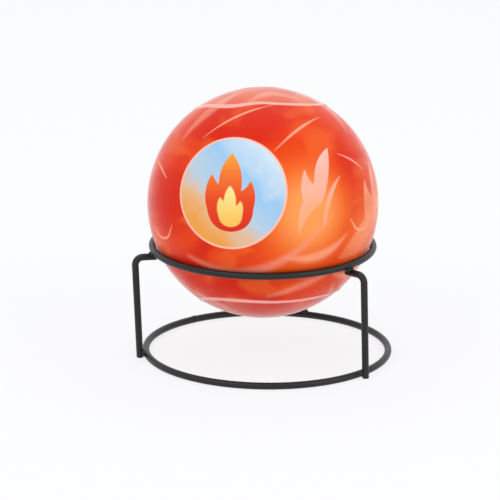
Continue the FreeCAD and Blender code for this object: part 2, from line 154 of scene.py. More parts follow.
def rolled_ring(name, radius, centre, weld_angle, ground):
    """A ring, with the direction, outwards and up, in which its weld is ground flush."""
    deselect()
    bpy.ops.mesh.primitive_torus_add(
        major_radius=radius, minor_radius=ROD_RADIUS, major_segments=192, minor_segments=24)
    ring = bpy.context.object
    bpy.ops.object.mode_set(mode="EDIT")
    spot = Vector((math.cos(weld_angle), math.sin(weld_angle), 0)) * radius

    pick("FACE", lambda place: (place - spot).length < COLLAR_DIVIDED * MM + ROD_RADIUS)
    bpy.ops.mesh.subdivide(number_cuts=2)
    along = Vector((-math.sin(weld_angle), math.cos(weld_angle), 0))
    flush = (spot / radius) * ground[0] + Vector((0, 0, ground[1]))
    for reach, swell in COLLAR:
        pick("VERT", lambda place: abs((place - spot).dot(along)) < reach * MM
             and (place - spot).length < COLLAR_REACH * MM
             and (place - spot).dot(flush) < 0.2 * ROD_RADIUS)
        bpy.ops.transform.shrink_fatten(value=swell * MM)
    bpy.ops.object.mode_set(mode="OBJECT")
    bpy.ops.object.shade_smooth()
    ring.location = centre
    bpy.ops.object.transform_apply(location=True, rotation=True, scale=True)
    return finish_piece(ring, name, name.replace("_rod", ""), slot="black_wire")


stand = [
    rolled_ring("base_ring_rod", BASE_RADIUS, Vector((0, 0, ROD_RADIUS)),
                math.radians(128), (0, -1)),
    rolled_ring("cradle_ring_rod", CRADLE_RADIUS, CRADLE_AXIS + Vector((0, 0, CRADLE_HEIGHT)),
                math.radians(100), (-0.9, 0.4)),
]

# %% [markdown]
# ## The bent legs
# A leg is a rod with one tight bend. It could be a curve with a round bevel. Here it is extruded
# and spun from a disc, because that is how a bending machine works: straight, round a former,
# straight again. The cut ends are deburred, which is a small bevel. The bend is spun as if the
# rod stood upright, then the rod is leaned by its real degree or two and its foot is made flat.
# The spin operator turns against its axis, so its angle is written with a minus.

# %% A bent rod
END_ROUND = 0.7 * MM


def bent_leg(side):
    angle = math.radians(LEG_ANGLES[side])
    foot = Vector((math.cos(angle), math.sin(angle), 0)) * FOOT_RADIUS
    to_axis = CRADLE_AXIS - foot
    arm_length = FOOT_RADIUS - ARM_END
    knee = to_axis.length - ARM_END - arm_length
    lean = math.atan2(knee, ARM_HEIGHT)
    turn = math.pi / 2 - lean
    upright = math.hypot(knee, ARM_HEIGHT) - KNEE_RADIUS * math.tan(turn / 2)
    arm = arm_length - KNEE_RADIUS * math.tan(turn / 2)

    deselect()
    bpy.ops.mesh.primitive_circle_add(vertices=24, radius=ROD_RADIUS, fill_type="NGON")
    leg = bpy.context.object
    bpy.ops.object.mode_set(mode="EDIT")
    bpy.ops.mesh.select_mode(type="FACE")
    bpy.ops.mesh.select_all(action="SELECT")
    bpy.ops.mesh.extrude_region_move(TRANSFORM_OT_translate={"value": (0, 0, upright)})
    bpy.ops.mesh.spin(
        steps=10, angle=-turn, center=(KNEE_RADIUS, 0, upright), axis=(0, 1, 0))
    out = Vector((math.sin(turn), 0, math.cos(turn)))
    bpy.ops.mesh.extrude_region_move(TRANSFORM_OT_translate={"value": out * arm})
    bpy.ops.mesh.select_all(action="SELECT")
    bpy.ops.mesh.normals_make_consistent(inside=False)
    bpy.ops.object.mode_set(mode="OBJECT")

    leg.matrix_world = Matrix.Rotation(lean, 4, "Y")
    bpy.ops.object.transform_apply(location=True, rotation=True, scale=True)
    bpy.ops.object.mode_set(mode="EDIT")
    pick("VERT", lambda place: place.z < 1 * MM)
    bpy.ops.transform.resize(value=(1, 1, 0), center_override=(0, 0, 0))
    tip = knee + arm_length
    pick("EDGE", lambda place: place.z < 0.1 * MM or place.x > tip - 0.1 * MM)
    bpy.ops.mesh.bevel(offset=END_ROUND, segments=3, profile=0.5, affect="EDGES")
    bpy.ops.object.mode_set(mode="OBJECT")
    bpy.ops.object.shade_smooth_by_angle(angle=math.radians(35))

    inwards = math.atan2(to_axis.y, to_axis.x)
    leg.matrix_world = Matrix.Translation(foot) @ Matrix.Rotation(inwards, 4, "Z")
    bpy.ops.object.transform_apply(location=True, rotation=True, scale=True)
    return finish_piece(leg, "leg_" + side + "_rod", "leg_" + side, slot="black_wire")


stand += [bent_leg(side) for side in LEG_ANGLES]

# %% [markdown]
# ## The weld beads
# A hand-made bead is a row of small pools of metal, each frozen over the one before. One swollen
# ball would look like putty. So each bead is a short row of round drops on either side of the
# joint. A voxel remesh melts them into one skin and a smoothing softens the creases.

# %% Drops of weld metal
def weld_row(centre, along, out, drops):
    """Adds drops at places along and out from the spot where two rods meet."""
    for side, lift, reach, radius in drops:
        bpy.ops.mesh.primitive_ico_sphere_add(
            subdivisions=3, radius=radius * MM,
            location=centre + (along * side + out * reach + Vector((0, 0, lift))) * MM)


def weld_beads(name, places, drops, replaced):
    deselect()
    made = set(bpy.data.objects)
    for centre, along, out in places:
        weld_row(centre, along, out, drops)
    new = [item for item in bpy.data.objects if item not in made]
    for item in new:
        item.select_set(True)
    bpy.context.view_layer.objects.active = new[0]
    bpy.ops.object.join()
    bead = bpy.context.object
    bpy.ops.object.transform_apply(location=True, rotation=True, scale=True)
    melt = bead.modifiers.new("melt", "REMESH")
    melt.mode = "VOXEL"
    melt.voxel_size = 0.3 * MM
    bpy.ops.object.modifier_apply(modifier=melt.name)
    soften = bead.modifiers.new("soften", "SMOOTH")
    soften.factor = 0.5
    soften.iterations = 4
    bpy.ops.object.modifier_apply(modifier=soften.name)
    bpy.ops.object.shade_smooth()
    return finish_piece(bead, name, replaced, slot="black_weld")


def joints(axis, reach, height):
    """Where the legs meet a ring: the place, the ring's direction there, and outwards."""
    places = []
    for angle in LEG_ANGLES.values():
        turn = math.radians(angle)
        foot = Vector((math.cos(turn), math.sin(turn), 0)) * FOOT_RADIUS
        out = (foot - axis).normalized()
        along = Vector((-out.y, out.x, 0))
        places.append((axis + out * reach + Vector((0, 0, height)), along, out))
    return places


# Each drop is its place along the ring, its height, its place outwards, and its radius, in mm.
BASE_DROPS = [
    (-4.4, 0.2, -0.6, 1.3), (-3.1, 0.4, -0.1, 1.6), (-1.8, 0.6, 0.2, 1.8),
    (1.8, 0.6, 0.2, 1.8), (3.0, 0.5, 0.0, 1.5), (-1.6, 2.0, 0.6, 1.3), (1.6, 2.1, 0.6, 1.3),
]
CRADLE_DROPS = [
    (-3.2, 0.4, 0.2, 1.1), (-2.2, 0.1, 0.3, 1.5), (-1.4, -0.3, 1.0, 1.6),
    (1.4, -0.3, 1.0, 1.6), (2.2, 0.1, 0.3, 1.5), (3.2, 0.4, 0.2, 1.1), (0.0, 0.0, 2.0, 1.2),
]
meeting = ROD_RADIUS + WELD_GAP / 2
stand.append(weld_beads(
    "base_weld_beads", joints(Vector(), BASE_RADIUS + meeting, ROD_RADIUS),
    BASE_DROPS, "base_welds"))
stand.append(weld_beads(
    "cradle_weld_beads", joints(CRADLE_AXIS, CRADLE_RADIUS, CRADLE_HEIGHT - meeting),
    CRADLE_DROPS, "cradle_welds"))

# %% [markdown]
# ## Materials: the tools
# A colour is written as its sRGB hex value, as a paint chart gives it, and turned to the linear
# value that the renderer adds and multiplies. One function adds every node.

# %% Colour and nodes
def linear(code):
    """The linear colour of an sRGB hex value."""
    parts = [int(code[i:i + 2], 16) / 255 for i in (1, 3, 5)]
    return [p / 12.92 if p <= 0.04045 else ((p + 0.055) / 1.055) ** 2.4 for p in parts] + [1.0]


def add(tree, kind, inputs=None, **settings):
    """Adds a node, sets its properties, and links or sets its inputs."""
    made = tree.nodes.new("ShaderNode" + kind)
    for name, value in settings.items():
        setattr(made, name, value)
    for name, value in (inputs or {}).items():
        if isinstance(value, bpy.types.NodeSocket):
            tree.links.new(value, made.inputs[name])
        else:
            made.inputs[name].default_value = value
    return made


def new_material(name, **look):
    """A material, its node tree and its shader, with the same look all over."""
    material = bpy.data.materials.new(name)
    material.use_nodes = True
    shader = material.node_tree.nodes["Principled BSDF"]
    for socket, value in look.items():
        shader.inputs[socket.replace("_", " ")].default_value = value
    return material, material.node_tree, shader


def dress(pieces, material):
    for piece in pieces:
        piece.data.materials.clear()
        piece.data.materials.append(material)


# %% [markdown]
# ## Black powder coat
# Epoxy powder, sprayed on dry and baked, flows into a skin with a soft orange peel about a
# millimetre across. It is satin: it shows a broad, dim streak of light along the rod. Its black
# is a little lighter in broad patches, and its roughness follows the peel.

# %% Powder coat
coat, tree, shader = new_material("black epoxy powder coat", IOR=1.5, Specular_IOR_Level=0.4)
PEEL = 1.4 * MM
place = add(tree, "TexCoord").outputs["Object"]
peel = add(tree, "TexNoise", {"Vector": place, "Scale": 1 / PEEL, "Detail": 2.0})
patches = add(tree, "TexNoise", {"Vector": place, "Scale": 1 / (18 * MM), "Detail": 3.0})
tone = add(tree, "Mix", {
    0: patches.outputs["Fac"], 6: linear("#0C0C0D"), 7: linear("#1A1919")}, data_type="RGBA")
tree.links.new(tone.outputs[2], shader.inputs["Base Color"])
gloss = add(tree, "MapRange", {"Value": peel.outputs["Fac"], "To Min": 0.32, "To Max": 0.45})
tree.links.new(gloss.outputs[0], shader.inputs["Roughness"])
bump = add(tree, "Bump", {"Height": peel.outputs["Fac"], "Strength": 0.25, "Distance": 0.05 * MM})
tree.links.new(bump.outputs[0], shader.inputs["Normal"])
dress(stand, coat)
print("powder coat on", len(stand), "pieces")

# %% [markdown]
# ## The film skins
# The film is three skins: a printed sleeve round the ball's middle and a thinner cap on each
# pole. Heat shrinks the sleeve until its edges curl into a raised hem, which the photograph
# shows as two pale lines. A sphere with a thickness would have even rows and no hems. So each
# skin's section is drawn instead: a vertex is spun into arcs, close rows at the hems and wide
# ones between, and the section is then spun once round the pole axis.

# %% Drawing a section and spinning it
SLEEVE_TOP = math.asin(39.8 * MM / BALL_RADIUS)
SLEEVE_BOTTOM = math.pi - math.asin(42.6 * MM / BALL_RADIUS)
HEM_ARC = 5.0 * MM / BALL_RADIUS
EDGE_GAP = 0.06 * MM / BALL_RADIUS
HEM_ROWS = 13
MIDDLE_ROWS = 136
INNER_ROWS = 36
SLEEVE_ROUND = 420
CROSSWISE = (0, 1, 0)


def start_section(angle, radius):
    """A new mesh of one vertex, at an angle from the top pole."""
    deselect()
    bpy.ops.mesh.primitive_plane_add(size=MM)
    bpy.ops.object.mode_set(mode="EDIT")
    bpy.ops.mesh.select_mode(type="VERT")
    bpy.ops.mesh.select_all(action="SELECT")
    bpy.ops.mesh.merge(type="CENTER")
    bpy.ops.transform.translate(
        value=(radius * math.sin(angle), 0, radius * math.cos(angle)))


def arc(start, stop, steps):
    """Spins the last vertex about the ball's centre. The operator turns against the axis."""
    bpy.ops.mesh.spin(steps=steps, angle=start - stop, center=(0, 0, 0), axis=CROSSWISE)


def step_in(angle, depth):
    """Extrudes the last vertex towards the ball's centre."""
    inwards = (-depth * math.sin(angle), 0, -depth * math.cos(angle))
    bpy.ops.mesh.extrude_region_move(TRANSFORM_OT_translate={"value": inwards})


def turn_round(segments, closed):
    """Closes the section where it isn't closed by the axis, and spins it about the poles."""
    if closed:
        bpy.ops.mesh.select_all(action="SELECT")
        bpy.ops.mesh.remove_doubles(threshold=MM / 1000)
    bpy.ops.mesh.select_all(action="SELECT")
    bpy.ops.mesh.spin(
        steps=segments, angle=2 * math.pi, center=(0, 0, 0), axis=(0, 0, 1), use_auto_merge=True)
    bpy.ops.mesh.select_all(action="SELECT")
    bpy.ops.mesh.remove_doubles(threshold=MM / 2000)
    bpy.ops.mesh.normals_make_consistent(inside=False)
    bpy.ops.object.mode_set(mode="OBJECT")
    bpy.ops.object.shade_smooth()
    return bpy.context.object


start_section(SLEEVE_TOP, BALL_RADIUS)
arc(SLEEVE_TOP, SLEEVE_TOP + HEM_ARC, HEM_ROWS)
arc(SLEEVE_TOP + HEM_ARC, SLEEVE_BOTTOM - HEM_ARC, MIDDLE_ROWS)
arc(SLEEVE_BOTTOM - HEM_ARC, SLEEVE_BOTTOM, HEM_ROWS)
step_in(SLEEVE_BOTTOM, FILM)
arc(SLEEVE_BOTTOM, SLEEVE_TOP, INNER_ROWS)
step_in(SLEEVE_TOP, -FILM)
sleeve = turn_round(SLEEVE_ROUND, True)
print("sleeve skin:", len(sleeve.data.vertices), "vertices")

# %% The two caps
CAP_OUTSIDE = BALL_RADIUS - FILM + CAP_FILM
CAP_ROWS = 56
CAP_INNER_ROWS = 20
CAP_ROUND = 240


def cap_skin(pole, edge):
    """A cap from its pole to its edge, which are angles from the top pole."""
    start_section(pole, CAP_OUTSIDE)
    arc(pole, edge, CAP_ROWS)
    step_in(edge, CAP_FILM)
    arc(edge, pole, CAP_INNER_ROWS)
    return turn_round(CAP_ROUND, False)


crown = cap_skin(0.0, SLEEVE_TOP - EDGE_GAP)
bottom = cap_skin(math.pi, SLEEVE_BOTTOM + EDGE_GAP)
print("cap skins:", len(crown.data.vertices), len(bottom.data.vertices), "vertices")

# %% [markdown]
# ## Shrunken, not turned
# Shrink film is never as true as a turned part. Its edges wander by up to four millimetres, its
# hem is thicker in places, it has faint hollows between the foam's beads, and near the poles it
# gathers in fine puckers. Each is a smooth wave of a size in millimetres, so the vertices are
# moved by sums of sines. The result is the same each time, as a random texture's might not be.

# %% Moving the film's vertices
def points(piece):
    flat = np.empty(len(piece.data.vertices) * 3)
    piece.data.vertices.foreach_get("co", flat)
    return flat.reshape(-1, 3)


def move_points(piece, places):
    piece.data.vertices.foreach_set("co", places.reshape(-1))
    piece.data.update()


def keep(piece, name, values, kind="FLOAT"):
    """Stores a value at each vertex for the shader."""
    stored = piece.data.attributes.new(name, kind, "POINT")
    stored.data.foreach_set("vector" if kind == "FLOAT_VECTOR" else "value",
                            np.asarray(values, np.float32).reshape(-1))


def sines(angle, waves):
    return sum(size * np.sin(count * angle + start) for size, count, start in waves)


# Each wave is its size in mm, its count round the ball and its start in radians.
TOP_WANDER = [(1.80, 1, 0.84), (1.74, 2, 2.03), (0.38, 3, 0.64), (1.04, 5, 5.72), (0.41, 8, 4.92)]
BOTTOM_WANDER = [(1.16, 1, 4.19), (1.57, 2, 4.07), (2.20, 3, 5.17), (0.62, 4, 3.18)]
HEM_HIGHLIGHT_SPREAD = [(0.75, 1, 1.0), (0.25, 5, 2.2)]
HEM_SWELL = [(0.10, 6, 0.7), (0.08, 13, 2.9), (0.05, 31, 1.1)]
HOLLOWS = [(0.045, 9, 0.3), (0.035, 14, 1.9)]
# An edge's wander dies out over this distance from it, in mm.
FADE = 16.0
HEM_WIDTH = 2.9
HEM_THICKNESS = 0.32
HOLLOW_DEPTH = 0.08
PUCKER_COUNT = 26
PUCKER_DEPTH = 0.08
PUCKER_PLACE = 9.0
PUCKER_SPREAD = 5.0
# A cap stands a little proud, and no hollow in it reaches down to the foam.
CAP_RISE = 0.06
CAP_LOWEST = -0.12


def shrink(piece, hem, puckers):
    """Gives a skin the wandering edges, hems, hollows and puckers of shrunken film."""
    place = points(piece)
    radius = np.linalg.norm(place, axis=1)
    round_angle = np.arctan2(place[:, 1], place[:, 0])
    pole_angle = np.arccos(np.clip(place[:, 2] / radius, -1, 1))
    from_top = np.abs(pole_angle - SLEEVE_TOP) * BALL_RADIUS / MM
    from_bottom = np.abs(pole_angle - SLEEVE_BOTTOM) * BALL_RADIUS / MM
    wander = (sines(round_angle, TOP_WANDER) * np.exp(-(from_top / FADE) ** 2)
              + sines(round_angle, BOTTOM_WANDER) * np.exp(-(from_bottom / FADE) ** 2))
    new_pole = pole_angle + wander * MM / BALL_RADIUS

    outer = radius > BALL_RADIUS - FILM + 0.1 * MM
    bands = np.sin(pole_angle * 7 + np.sin(round_angle * 3) * 2)
    lift = sines(round_angle, HOLLOWS) * bands - HOLLOW_DEPTH
    if hem:
        thickness = HEM_THICKNESS + sines(round_angle, HEM_SWELL)
        for distance in (from_top, from_bottom):
            lift = lift + thickness * np.exp(-((distance - HEM_WIDTH / 2) / (HEM_WIDTH / 2)) ** 4)
    if puckers:
        from_pole = np.minimum(pole_angle, np.pi - pole_angle) * BALL_RADIUS / MM
        waves = np.sin(PUCKER_COUNT * round_angle + np.sin(3 * round_angle)) * PUCKER_DEPTH
        waves = waves * np.exp(-((from_pole - PUCKER_PLACE) / PUCKER_SPREAD) ** 2)
        lift = np.maximum(lift + CAP_RISE + waves, CAP_LOWEST)
    # The distance to the nearer hem, wandering in width, places the painted highlight along each hem.
    if hem:
        keep(piece, "hem", np.minimum(from_top, from_bottom) + sines(round_angle, HEM_HIGHLIGHT_SPREAD))
    new_radius = radius + np.where(outer, lift, 0) * MM
    move_points(piece, np.stack([
        new_radius * np.sin(new_pole) * np.cos(round_angle),
        new_radius * np.sin(new_pole) * np.sin(round_angle),
        new_radius * np.cos(new_pole)], axis=1))


shrink(sleeve, hem=True, puckers=False)
shrink(crown, hem=False, puckers=True)
shrink(bottom, hem=False, puckers=True)
print("sleeve now", [round(side / MM, 2) for side in sleeve.dimensions], "mm")

# %% [markdown]
# ## The print, drawn as distances
# The sleeve is printed with a round emblem and tongues of flame. The print could be cut into the
# mesh as separate faces, which would break the smooth film. Instead each vertex keeps its
# distance to the nearest outline, less than nothing inside it. The shader turns a distance into
# a crisp or a soft edge. The outlines are those of the CAD model: corners as shares of a height,
# each with the swell of the edge that leaves it.

# %% Outlines and distances
FLAME = [
    (0.00, -0.50, -0.09), (0.30, -0.22, -0.04), (0.27, 0.14, 0.02), (0.15, 0.00, -0.06),
    (0.02, 0.50, -0.05), (-0.14, 0.08, 0.00), (-0.24, 0.24, -0.05), (-0.31, -0.20, -0.09),
]
SLIM_TONGUES = [
    [(-0.24, -0.46, 0.05), (0.02, -0.12, -0.02), (0.20, 0.46, -0.07), (-0.06, 0.06, 0.02),
     (-0.14, 0.24, -0.04), (-0.20, -0.10, -0.04)],
    [(0.06, -0.40, 0.05), (0.30, 0.16, -0.06), (0.04, -0.24, -0.02)],
]
BROAD_TONGUE = [
    [(-0.42, -0.50, -0.07), (0.06, -0.26, -0.03), (0.22, 0.02, -0.03), (0.36, 0.22, 0.03),
     (0.21, 0.13, 0.02), (0.17, 0.52, -0.05), (0.04, 0.15, 0.03), (-0.11, 0.35, -0.05),
     (-0.13, -0.06, -0.04)],
]
SWEEP = [(-0.36, -0.66, -0.16), (0.36, -0.46, 0.07)]
EDGE_STEPS = 12


def outline(corners, height):
    """The outline's points in mm, with each swollen edge in short steps."""
    made = []
    for index, (x, y, swell) in enumerate(corners):
        next_x, next_y = corners[(index + 1) % len(corners)][:2]
        start = np.array([x, y]) * height
        stop = np.array([next_x, next_y]) * height
        along = (stop - start) / np.linalg.norm(stop - start)
        side = np.array([-along[1], along[0]])
        for share in np.arange(EDGE_STEPS) / EDGE_STEPS:
            bow = 4 * share * (1 - share) * swell * height
            made.append(start + (stop - start) * share + side * bow)
    return np.array(made)


def signed_distance(shape, x, y):
    """How far each point is from an outline, and less than nothing inside it."""
    nearest = np.full(len(x), 1e9)
    inside = np.zeros(len(x), bool)
    for (ax, ay), (bx, by) in zip(shape, np.roll(shape, -1, axis=0)):
        dx, dy = bx - ax, by - ay
        share = np.clip(((x - ax) * dx + (y - ay) * dy) / (dx * dx + dy * dy), 0, 1)
        nearest = np.minimum(nearest, np.hypot(x - ax - share * dx, y - ay - share * dy))
        crosses = (ay > y) != (by > y)
        if dy != 0:
            inside ^= crosses & (x < ax + dx * (y - ay) / dy)
    return np.where(inside, -nearest, nearest)


def facing(longitude, latitude):
    """The directions east, north and out at a place on the ball, in degrees."""
    east_turn, north_turn = math.radians(longitude), math.radians(latitude)
    out = np.array([math.cos(north_turn) * math.cos(east_turn),
                    math.cos(north_turn) * math.sin(east_turn), math.sin(north_turn)])
    east = np.array([-math.sin(east_turn), math.cos(east_turn), 0])
    return east, np.cross(out, east), out


# %% The emblem's distances
EMBLEM_PLACE = (-105.4, 7.6)
EMBLEM_RADIUS = 35.5
FLAME_HEIGHT = 50.0
CORE_SHARE = 0.52
CORE_RISE = 3.0
FAR = 60.0
# A print reaches only the points that lie this far out, in mm, on its own side of the ball.
OWN_SIDE = 50.0
spots = points(sleeve) / MM
east, north, out = facing(*EMBLEM_PLACE)
x, y = spots @ east, spots @ north
front = spots @ out > OWN_SIDE
keep(sleeve, "emblem", np.where(front, np.hypot(x, y) - EMBLEM_RADIUS, FAR))
keep(sleeve, "on_emblem", np.stack([x, y, x * 0], axis=1) / EMBLEM_RADIUS, "FLOAT_VECTOR")
flame = outline(FLAME, FLAME_HEIGHT)
keep(sleeve, "emblem_flame", np.where(front, signed_distance(flame, x, y), FAR))
core_height = FLAME_HEIGHT * CORE_SHARE
core = outline(FLAME, core_height)
core[:, 1] += CORE_RISE - (FLAME_HEIGHT - core_height) / 2
keep(sleeve, "emblem_core", np.where(front, signed_distance(core, x, y), FAR))
print("emblem on", int(front.sum()), "vertices")

# %% The tongues' distances
# Slim and broad clusters take turns round the ball, the slim ones a little higher and with a
# brighter glow behind them.
TONGUE_HEIGHT = 60.0
CLUSTER_RISE = 6
CLUSTERS = [-60 + 38 * number for number in range(7)]
GLOW_CENTRE = (-8.0, -13.0)
GLOW_RADII = (27.0, 29.0)
BROAD_GLOW = 0.4
tongue = np.full(len(spots), FAR)
sweep = np.full(len(spots), FAR)
rise = np.zeros(len(spots))
slim_share = np.zeros(len(spots))
glow = np.zeros(len(spots))
for number, longitude in enumerate(CLUSTERS):
    slim = number % 2 == 0
    east, north, out = facing(longitude, CLUSTER_RISE if slim else -CLUSTER_RISE)
    x, y = spots @ east, spots @ north
    near = np.nonzero(spots @ out > OWN_SIDE)[0]
    for corners in SLIM_TONGUES if slim else BROAD_TONGUE:
        found = signed_distance(outline(corners, TONGUE_HEIGHT), x[near], y[near])
        closer = near[found < tongue[near]]
        tongue[near] = np.minimum(tongue[near], found)
        rise[closer] = y[closer] / TONGUE_HEIGHT
        slim_share[closer] = slim
    found = signed_distance(outline(SWEEP, TONGUE_HEIGHT), x[near], y[near])
    sweep[near] = np.minimum(sweep[near], found)
    glow_x = (x - GLOW_CENTRE[0]) / GLOW_RADII[0]
    glow_y = (y - GLOW_CENTRE[1]) / GLOW_RADII[1]
    warm = np.exp(-(glow_x ** 2 + glow_y ** 2)) * (spots @ out > 0)
    glow = np.maximum(glow, warm if slim else warm * BROAD_GLOW)
keep(sleeve, "tongue", tongue)
keep(sleeve, "slim", slim_share)
keep(sleeve, "sweep", sweep)
keep(sleeve, "rise", rise)
keep(sleeve, "glow", glow)
print("flame clusters at", CLUSTERS)

# %% [markdown]
# ## Brush strokes
# Between the tongues run long thin licks of flame. Each is a stroke through a few places on the
# ball, given as longitude and latitude in degrees and half a width in millimetres. A smooth
# curve joins them, and its distance is measured straight through space, which is close enough
# on a ball this size. The set is repeated round the ball, so the back is as lively as the front.
# A thin stroke is no wider than a face of the mesh, and a plain distance would turn it into
# dashes, because it can't fall to nothing between two vertices. So a thin stroke keeps two
# values: the offset from its middle, with a sign for the side, and its half width.

# %% Strokes as distances
THIN_STROKES = [
    [(-126, 36, 0.1), (-104, 50, 0.9), (-76, 57, 0.1)],
    [(-82, 27, 0.1), (-64, 39, 0.9), (-42, 46, 0.1)],
    [(-164, 24, 0.2), (-154, 20, 0.7), (-146, 15, 0.2)],
    [(-161, -9, 0.3), (-155, -14, 0.7), (-147, -14, 0.6), (-141, -8, 0.2)],
]
BROAD_STROKES = [
    [(-134, -24, 0.8), (-107, -34, 3.0), (-78, -27, 2.6), (-54, -6, 0.6)],
    [(-143, 36, 0.6), (-135, 54, 4.4), (-124, 73, 2.0)],
    [(-98, 62, 0.8), (-72, 70, 4.0), (-44, 62, 0.8)],
    [(-156, -45, 0.8), (-142, -56, 3.0), (-130, -70, 1.0)],
    [(-88, -51, 0.8), (-64, -44, 3.0), (-46, -36, 1.0)],
]
STROKE_TURNS = (0, 120, 240)
# Past this distance from its middle, in mm, a stroke's offset isn't kept.
STROKE_REACH = 3.5


def spline(places, steps=10):
    """A smooth curve through places, each with a width, as points on the ball in mm."""
    knots = []
    for longitude, latitude, width in places:
        knots.append(np.append(facing(longitude, latitude)[2] * BALL_RADIUS / MM, width))
    knots = [2 * knots[0] - knots[1]] + knots + [2 * knots[-1] - knots[-2]]
    made = []
    for a, b, c, d in zip(knots, knots[1:], knots[2:], knots[3:]):
        for t in np.arange(steps) / steps:
            made.append(0.5 * (2 * b + (c - a) * t + (2 * a - 5 * b + 4 * c - d) * t ** 2
                               + (3 * b - a - 3 * c + d) * t ** 3))
    made.append(knots[-2])
    made = np.array(made)
    made[:, :3] *= (BALL_RADIUS / MM / np.linalg.norm(made[:, :3], axis=1))[:, None]
    return made


def stroke_field(strokes, places):
    """The distance to the nearest stroke's edge, the offset from its middle, its half width."""
    nearest = np.full(len(places), FAR)
    offset = np.full(len(places), FAR)
    half_width = np.full(len(places), -FAR)
    for turn in STROKE_TURNS:
        for stroke in strokes:
            curve = spline([(lon + turn, lat, width) for lon, lat, width in stroke])
            for start, stop in zip(curve, curve[1:]):
                step = stop[:3] - start[:3]
                side = np.cross(step, start[:3])
                side /= np.linalg.norm(side)
                share = np.clip((places - start[:3]) @ step / (step @ step), 0, 1)
                away = places - start[:3] - share[:, None] * step
                gap = np.linalg.norm(away, axis=1)
                width = start[3] + (stop[3] - start[3]) * share
                closer = gap - width < nearest
                nearest = np.where(closer, gap - width, nearest)
                past_end = np.sqrt(np.maximum(gap ** 2 - (away @ side) ** 2, 0))
                beside = closer & (gap < STROKE_REACH)
                offset = np.where(beside, away @ side, offset)
                half_width = np.where(beside, width - past_end, half_width)
    return nearest, offset, half_width


for skin in (sleeve, crown, bottom):
    places = points(skin) / MM
    keep(skin, "on_ball", places, "FLOAT_VECTOR")
    on_sphere = places * (BALL_RADIUS / MM / np.linalg.norm(places, axis=1))[:, None]
    keep(skin, "broad", stroke_field(BROAD_STROKES, on_sphere)[0])
    offset, half_width = stroke_field(THIN_STROKES, on_sphere)[1:]
    keep(skin, "thin_offset", offset)
    keep(skin, "thin_half_width", half_width)
print("strokes on three skins")

# %% [markdown]
# ## Printed shrink film
# PVC film about 0.05 mm thick, reverse-printed and glossy. The ink is a flow of reds and oranges
# without hard borders, made here from noise that is stretched along the flames' slant. Over it
# lie the glow round each cluster of tongues, the soft strokes, the tongues and the emblem, one
# layer over the other. Under the tongues, a pale line along each hem is a painted highlight on
# its raised edge. The film's own gloss is the shader's, with long faint ripples as bump.
# The film is clear over its ink and looks milky at a flat angle, which is a little sheen.

# %% Layers of ink
def stored(tree, attribute):
    return add(tree, "Attribute", attribute_name=attribute).outputs["Fac"]


def soft_range(tree, value, low, high, top=1.0):
    """Rises smoothly from nothing at a low value to the top at a high one."""
    return add(tree, "MapRange", {
        "Value": value, "From Min": low, "From Max": high, "To Max": top},
        interpolation_type="SMOOTHSTEP").outputs[0]


def edge(tree, distance, blur, strength=1.0, inset=0.0):
    """One inside an outline, nothing outside, with a blur of some mm."""
    return soft_range(tree, distance, blur / 2 - inset, -blur / 2 - inset, strength)


def product(tree, one, other):
    return add(tree, "Math", {0: one, 1: other}, operation="MULTIPLY").outputs[0]


def cover(tree, colour, factor, paint):
    """Lays a paint, a hex value or a node's colour, over the colour so far."""
    over = linear(paint) if isinstance(paint, str) else paint
    return add(tree, "Mix", {0: factor, 6: colour, 7: over}, data_type="RGBA").outputs[2]


def ramp(tree, value, low, high, stops):
    """The colour at a value, from stops that are a place from 0 to 1 and a hex colour."""
    share = add(tree, "MapRange", {"Value": value, "From Min": low, "From Max": high})
    made = add(tree, "ValToRGB", {"Fac": share.outputs[0]})
    steps = made.color_ramp.elements
    while len(steps) < len(stops):
        steps.new(1.0)
    for step, (place, code) in zip(steps, stops):
        step.position = place
        step.color = linear(code)
    return made.outputs[0]


# %% [markdown]
# ## The tongues and the emblem in ink
# A tongue is palest at its tip and thins out with the flow of the ink under it, as a print in
# one pass does. The emblem is a round picture with a pale rim: a sky that is warm by the fire
# and blue away from it, a flame, and the flame's bright heart.

# %% Two layers that only the sleeve has
SKY = [(0.0, "#F0A24A"), (0.20, "#E9B98C"), (0.42, "#B9CFE0"), (0.72, "#9CC7EA"), (1.0, "#CFE0EE")]
FIRE = [(0.0, "#D8261E"), (0.45, "#EA4A22"), (0.8, "#F47A2C"), (1.0, "#F9A13C")]
HEART = [(0.0, "#FBC25A"), (0.6, "#FFE08A"), (1.0, "#FFF0C0")]
RIM_WIDTH = 1.2


def tongue_print(tree, colour, flow):
    fade = add(tree, "MapRange", {
        "Value": stored(tree, "rise"), "From Min": -0.45, "From Max": 0.30,
        "To Min": 0.25, "To Max": 0.95}).outputs[0]
    patchy = add(tree, "MapRange", {
        "Value": flow, "From Min": 0.35, "From Max": 0.65, "To Min": 0.6, "To Max": 1.0}).outputs[0]
    inside = edge(tree, stored(tree, "tongue"), 0.7)
    ink = cover(tree, linear("#FDA577"), stored(tree, "slim"), "#FBC2B2")
    return cover(tree, colour, product(tree, inside, product(tree, fade, patchy)), ink)


